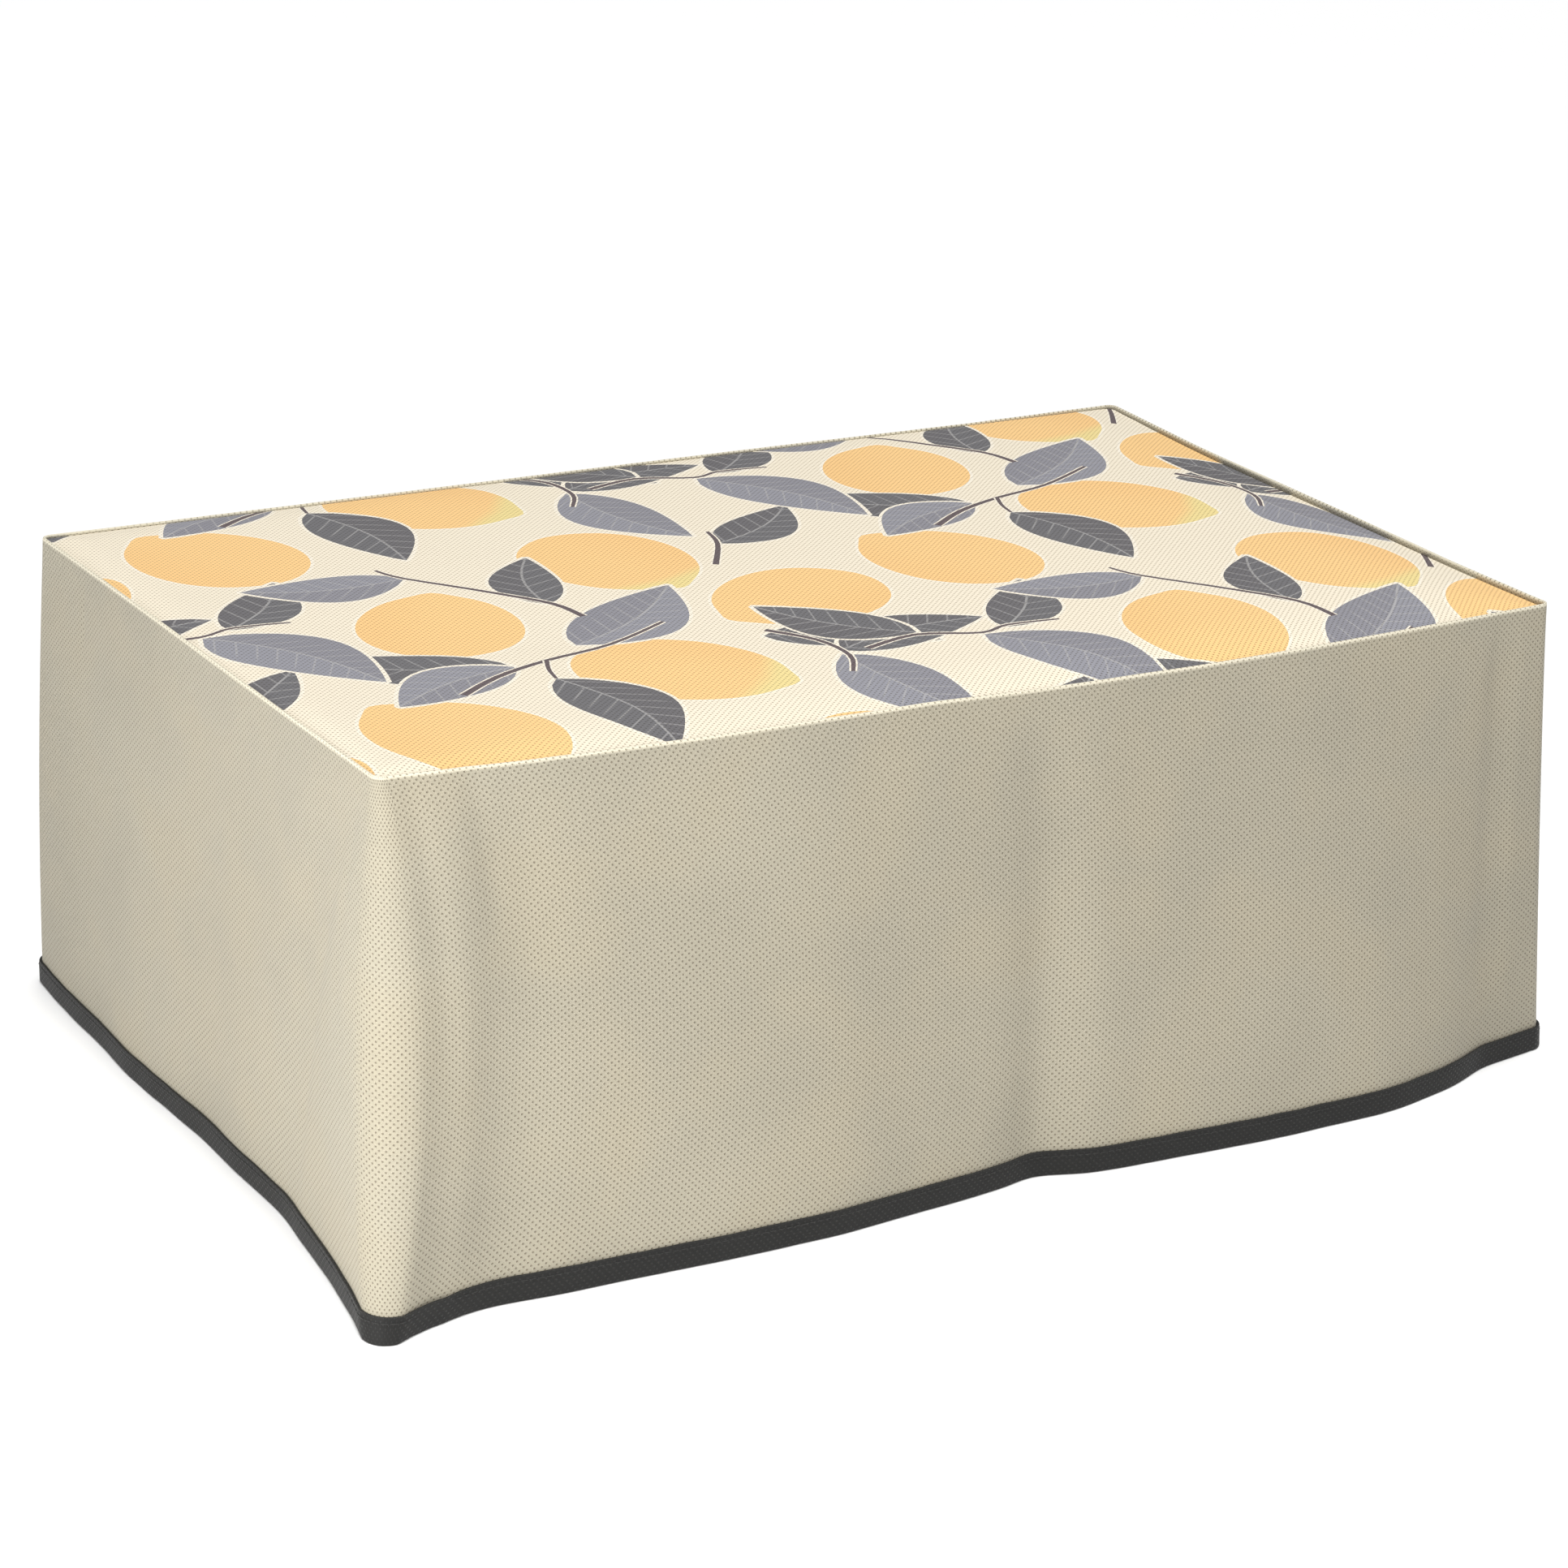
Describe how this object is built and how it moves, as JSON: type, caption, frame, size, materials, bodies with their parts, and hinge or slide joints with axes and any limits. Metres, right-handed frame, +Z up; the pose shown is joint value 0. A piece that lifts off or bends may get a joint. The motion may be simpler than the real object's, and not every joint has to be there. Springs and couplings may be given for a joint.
{
  "type": "printer cover",
  "caption": "Box-shaped fabric dust cover, open underneath, with a printed top panel, a cream skirt round the sides and a dark bound hem that flares softly.",
  "frame": {"origin": "centre of the flat underside of the top panel, where the cover rests on the printer it hides", "axes": "+X along the long front, to the right seen from the front; +Y from the front to the back; +Z up, away from the printer"},
  "size_m": [0.5268, 0.357, 0.1947],
  "materials": {
    "printed_cloth": "matt spunbond cloth with a fruit and leaf print on a cream ground",
    "cream_cloth": "matt cream spunbond cloth with a soft sheen and embossed dots",
    "black_binding": "matt black spunbond strip with embossed dots"
  },
  "bodies": {
    "root": {"top_panel": "printed_cloth", "skirt": "cream_cloth", "hem_binding": "black_binding"}
  },
  "joints": []
}
